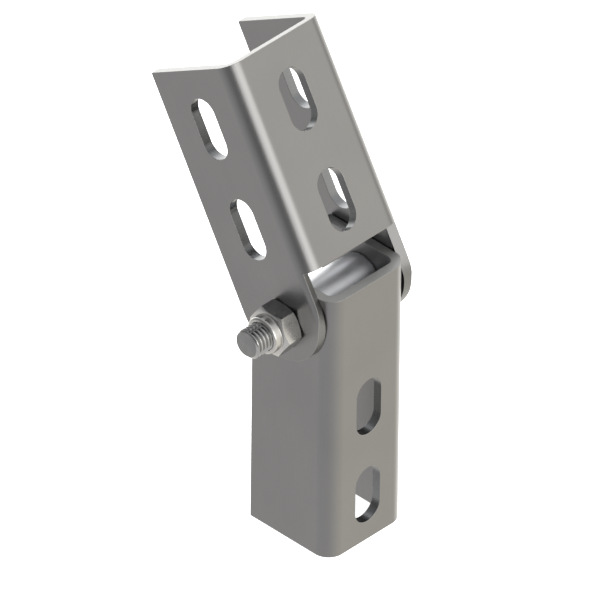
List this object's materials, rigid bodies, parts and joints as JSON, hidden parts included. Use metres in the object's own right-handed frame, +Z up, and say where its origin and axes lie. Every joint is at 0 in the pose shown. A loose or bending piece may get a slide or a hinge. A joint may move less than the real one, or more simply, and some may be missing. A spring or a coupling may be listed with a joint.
{
  "type": "swivel corner connector",
  "caption": "Hinged framing bracket: nested bent-sheet channels turning on one bolt with a lock nut, with slots for fastening at any angle.",
  "frame": {"origin": "middle of the lower channel's two web slots, on the web's outer face", "axes": "X along the pivot bolt towards its head, -Y out of the lower web's outer face, +Z up the lower channel to the pivot"},
  "size_m": [0.0766, 0.0902, 0.2047],
  "materials": {
    "lower_sheet": "satin",
    "upper_sheet": "satin",
    "sleeve_steel": "bright zinc plated",
    "bolt_steel": "zinc plated",
    "nut_steel": "zinc plated",
    "nylon": "dark polyamide"
  },
  "bodies": {
    "lower": {"lower_bracket": "lower_sheet", "spacer_sleeve": "sleeve_steel"},
    "upper": {"upper_bracket": "upper_sheet", "pivot_bolt": "bolt_steel", "lock_nut": "nut_steel", "nylon_ring": "nylon"}
  },
  "joints": [
    {"name": "swivel", "type": "hinge", "parent": "lower", "child": "upper", "pos_m": [0, 0.0205, 0.0615], "axis": [-1, 0, 0], "range_deg": [-110, 140]}
  ]
}
